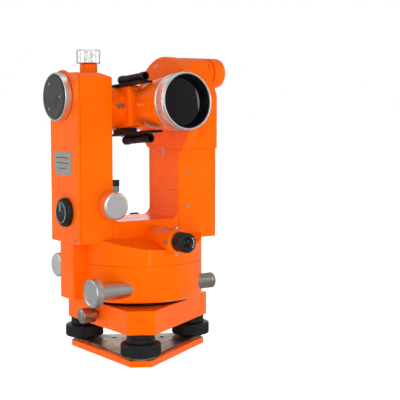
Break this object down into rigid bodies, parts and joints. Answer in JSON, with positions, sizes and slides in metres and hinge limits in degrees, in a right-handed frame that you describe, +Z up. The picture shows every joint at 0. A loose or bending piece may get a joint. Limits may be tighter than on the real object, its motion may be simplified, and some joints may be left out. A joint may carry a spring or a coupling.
{
  "type": "optical theodolite",
  "caption": "Orange optical theodolite with a tilting telescope between two standards, a turning drum, slow-motion knobs and a three-screw levelling base.",
  "frame": {"origin": "on the vertical axis at the underside of the base plate, the centre of the tripod thread", "axes": "+Z up along the vertical axis; the objective looks towards -Y; the telescope's trunnion axis lies along X, with the micrometer knob at -X"},
  "size_m": [0.1888, 0.1737, 0.2947],
  "materials": {
    "orange_enamel": "gloss",
    "satin_aluminium": "satin",
    "steel": "satin",
    "brass": "satin",
    "black_plastic": "matte",
    "black_anodised": "satin",
    "grey_plastic": "matte",
    "glass": "clear",
    "coated_glass": "coated"
  },
  "bodies": {
    "base": {"base_plate": "orange_enamel", "spring_plate": "satin_aluminium", "foot_collar_a": "black_plastic", "foot_collar_b": "black_plastic", "foot_collar_c": "black_plastic", "tribrach_body": "orange_enamel", "centre_socket": "steel", "circular_level": "satin_aluminium"},
    "foot_a": {"foot_screw_a": "steel", "foot_knob_a": "black_plastic"},
    "foot_b": {"foot_screw_b": "steel", "foot_knob_b": "black_plastic"},
    "foot_c": {"foot_screw_c": "steel", "foot_knob_c": "black_plastic"},
    "tribrach_clamp": {"tribrach_clamp_knob": "satin_aluminium"},
    "graduated_circle": {"circle_gear": "brass", "horizontal_circle": "glass"},
    "alidade": {"lower_drum": "orange_enamel", "alidade_base": "orange_enamel", "vertical_spindle": "steel", "clamp_ring": "steel", "clamp_housing": "orange_enamel", "tangent_barrel": "satin_aluminium", "spring_barrel": "satin_aluminium", "left_standard": "orange_enamel", "left_cover": "orange_enamel", "right_standard": "orange_enamel", "circle_housing": "orange_enamel", "circle_cover": "orange_enamel", "mirror_tube": "orange_enamel", "plummet_tube": "orange_enamel", "plate_level_case": "black_anodised", "plate_level_vial": "glass", "left_bearing": "brass", "right_bearing": "brass", "trunnion_clamp_arm": "steel"},
    "circle_setting": {"circle_setting_knob": "black_plastic"},
    "horizontal_clamp": {"horizontal_clamp_knob": "satin_aluminium"},
    "horizontal_tangent": {"horizontal_tangent_knob": "satin_aluminium"},
    "vertical_clamp": {"vertical_clamp_knob": "satin_aluminium"},
    "vertical_tangent": {"vertical_tangent_knob": "satin_aluminium"},
    "micrometer": {"micrometer_knob": "satin_aluminium", "micrometer_cap": "grey_plastic", "micrometer_shaft": "steel"},
    "micrometer_dial": {"micrometer_scale": "brass"},
    "selector": {"selector_knob": "black_plastic"},
    "mirror": {"mirror_cap": "orange_enamel"},
    "plummet_focus": {"plummet_eyepiece": "black_plastic"},
    "telescope": {"telescope_body": "orange_enamel", "objective_ring": "satin_aluminium", "objective_lens": "coated_glass", "reading_microscope": "black_anodised", "top_sight": "black_anodised", "bottom_sight": "black_anodised", "left_axle": "steel", "right_axle": "steel", "vertical_circle": "glass"},
    "focus": {"focusing_ring": "black_plastic"},
    "eyepiece": {"telescope_eyepiece": "black_plastic"},
    "microscope_focus": {"microscope_eyepiece": "black_plastic"}
  },
  "joints": [
    {"name": "foot_screw_a_turn", "type": "hinge", "parent": "base", "child": "foot_a", "pos_m": [0.0624, 0, 0.016], "axis": [0, 0, 1], "continuous": true},
    {"name": "foot_screw_b_turn", "type": "hinge", "parent": "base", "child": "foot_b", "pos_m": [-0.0312, 0.05404, 0.016], "axis": [0, 0, 1], "continuous": true},
    {"name": "foot_screw_c_turn", "type": "hinge", "parent": "base", "child": "foot_c", "pos_m": [-0.0312, -0.05404, 0.016], "axis": [0, 0, 1], "continuous": true},
    {"name": "tribrach_clamp_turn", "type": "hinge", "parent": "base", "child": "tribrach_clamp", "pos_m": [-0.058, -0.001, 0.042], "axis": [-1, 0, 0], "range_deg": [0, 180]},
    {"name": "alidade_turn", "type": "hinge", "parent": "base", "child": "alidade", "pos_m": [0, 0, 0.06], "axis": [0, 0, 1], "continuous": true},
    {"name": "circle_turn", "type": "hinge", "parent": "base", "child": "graduated_circle", "pos_m": [0, 0, 0.08], "axis": [0, 0, 1], "continuous": true},
    {"name": "circle_setting_turn", "type": "hinge", "parent": "alidade", "child": "circle_setting", "pos_m": [0, 0.07, 0.075], "axis": [0, 1, 0], "continuous": true},
    {"name": "horizontal_clamp_turn", "type": "hinge", "parent": "alidade", "child": "horizontal_clamp", "pos_m": [-0.066, 0.036, 0.0875], "axis": [-1, 0, 0], "range_deg": [0, 150]},
    {"name": "horizontal_tangent_turn", "type": "hinge", "parent": "alidade", "child": "horizontal_tangent", "pos_m": [-0.074, -0.0425, 0.071], "axis": [-1, 0, 0], "range_deg": [-720, 720]},
    {"name": "vertical_clamp_turn", "type": "hinge", "parent": "alidade", "child": "vertical_clamp", "pos_m": [-0.054, 0, 0.288], "axis": [0, 0, 1], "range_deg": [0, 150]},
    {"name": "vertical_tangent_turn", "type": "hinge", "parent": "alidade", "child": "vertical_tangent", "pos_m": [-0.0475, -0.034, 0.1495], "axis": [0, -1, 0], "range_deg": [-720, 720]},
    {"name": "micrometer_turn", "type": "hinge", "parent": "alidade", "child": "micrometer", "pos_m": [-0.085, 0.0035, 0.2506], "axis": [-1, 0, 0], "range_deg": [-300, 300]},
    {"name": "micrometer_dial_turn", "type": "hinge", "parent": "alidade", "child": "micrometer_dial", "pos_m": [-0.0705, 0.0035, 0.2286], "axis": [-1, 0, 0], "range_deg": [-150, 150]},
    {"name": "selector_turn", "type": "hinge", "parent": "alidade", "child": "selector", "pos_m": [-0.085, -0.004, 0.143], "axis": [-1, 0, 0], "range_deg": [0, 90]},
    {"name": "mirror_turn", "type": "hinge", "parent": "alidade", "child": "mirror", "pos_m": [0.09, 0, 0.275], "axis": [1, 0, 0], "continuous": true},
    {"name": "plummet_focus_turn", "type": "hinge", "parent": "alidade", "child": "plummet_focus", "pos_m": [0, -0.08, 0.1165], "axis": [0, -1, 0], "range_deg": [-150, 150]},
    {"name": "telescope_tilt", "type": "hinge", "parent": "alidade", "child": "telescope", "pos_m": [0, 0, 0.24], "axis": [1, 0, 0], "continuous": true},
    {"name": "focus_turn", "type": "hinge", "parent": "telescope", "child": "focus", "pos_m": [0, 0.04087, 0.23678], "axis": [0, 0.9969, -0.0785], "range_deg": [-200, 200]},
    {"name": "eyepiece_turn", "type": "hinge", "parent": "telescope", "child": "eyepiece", "pos_m": [0, 0.07278, 0.23427], "axis": [0, 0.9969, -0.0785], "range_deg": [-150, 150]},
    {"name": "microscope_focus_turn", "type": "hinge", "parent": "telescope", "child": "microscope_focus", "pos_m": [-0.033, 0.06281, 0.23506], "axis": [0, 0.9969, -0.0785], "range_deg": [-150, 150]}
  ],
  "couplings": [
    {"joint": "circle_setting_turn", "follows": "circle_turn", "ratio": 6.1},
    {"joint": "micrometer_dial_turn", "follows": "micrometer_turn", "ratio": -0.5}
  ]
}
